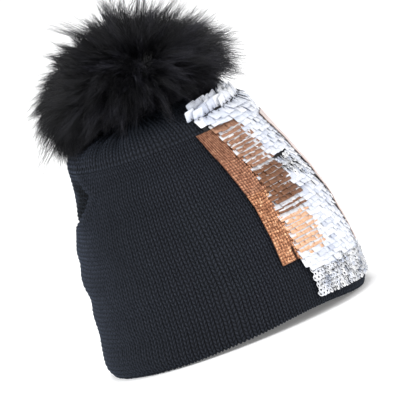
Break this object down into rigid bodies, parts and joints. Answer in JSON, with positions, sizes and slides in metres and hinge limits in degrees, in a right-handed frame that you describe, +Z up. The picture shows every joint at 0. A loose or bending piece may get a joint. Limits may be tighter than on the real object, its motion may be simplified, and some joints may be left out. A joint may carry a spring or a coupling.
{
  "type": "knitted bobble hat",
  "caption": "Knitted winter hat with a removable fur pompom and an applique panel of copper and rose ribbons, white square sequins and silver cup sequins.",
  "frame": {"origin": "centre of the footprint of the whole hat, on the surface that its rim stands on", "axes": "+Z up out of the crown; +X to the side that carries the applique panel; -Y to the side the panel starts from"},
  "size_m": [0.184, 0.194, 0.232],
  "materials": {
    "knit_yarn": "matte",
    "fleece": "matte",
    "felt": "matte",
    "label_satin": "satin",
    "backing_net": "matte",
    "copper_ribbon": "satin",
    "copper_sequin": "satin",
    "white_sequin": "satin",
    "silver_sequin": "gloss",
    "rose_ribbon": "satin",
    "snap_metal": "satin",
    "spring_wire": "polished",
    "base_leather": "matte",
    "filling": "matte",
    "fur": "satin"
  },
  "bodies": {
    "hat": {"knit_shell": "knit_yarn", "fleece_lining": "fleece", "care_label": "label_satin", "panel_backing": "backing_net", "copper_ribbon_lower": "copper_ribbon", "copper_ribbon_upper": "copper_ribbon", "copper_sequins_lower": "copper_sequin", "copper_sequins_middle": "copper_sequin", "copper_sequins_upper": "copper_sequin", "white_sequins_band": "white_sequin", "white_sequins_lower": "white_sequin", "white_sequins_middle": "white_sequin", "white_sequins_side": "white_sequin", "white_sequins_upper": "white_sequin", "white_sequins_shoulder": "white_sequin", "white_sequins_top": "white_sequin", "white_sequins_crown": "white_sequin", "white_sequins_far": "white_sequin", "silver_sequins_upper": "silver_sequin", "silver_sequins_lower": "silver_sequin", "rose_ribbon": "rose_ribbon", "gathering_cord": "knit_yarn", "crown_patch": "felt", "snap_socket": "snap_metal", "socket_backing_ring": "snap_metal"},
    "snap_ring": {"snap_ring_spring": "spring_wire"},
    "snap_stud": {"snap_stud": "snap_metal", "stud_cap": "snap_metal"},
    "pompom": {"pompom_base": "base_leather", "pompom_filling": "filling", "pompom_pelt": "fur"}
  },
  "joints": [
    {"name": "pompom_spin", "type": "hinge", "parent": "hat", "child": "snap_ring", "pos_m": [-0.01171, 0, 0.1584], "axis": [0, 0, 1], "continuous": true},
    {"name": "snap_pull", "type": "slide", "parent": "snap_ring", "child": "snap_stud", "axis": [0, 0, 1], "range_m": [0, 0.03]},
    {"name": "pompom_tilt", "type": "hinge", "parent": "snap_stud", "child": "pompom", "pos_m": [-0.01171, 0, 0.1644], "axis": [0, 1, 0], "range_deg": [-8, 8], "stiffness_Nm_per_rad": 0.15}
  ]
}
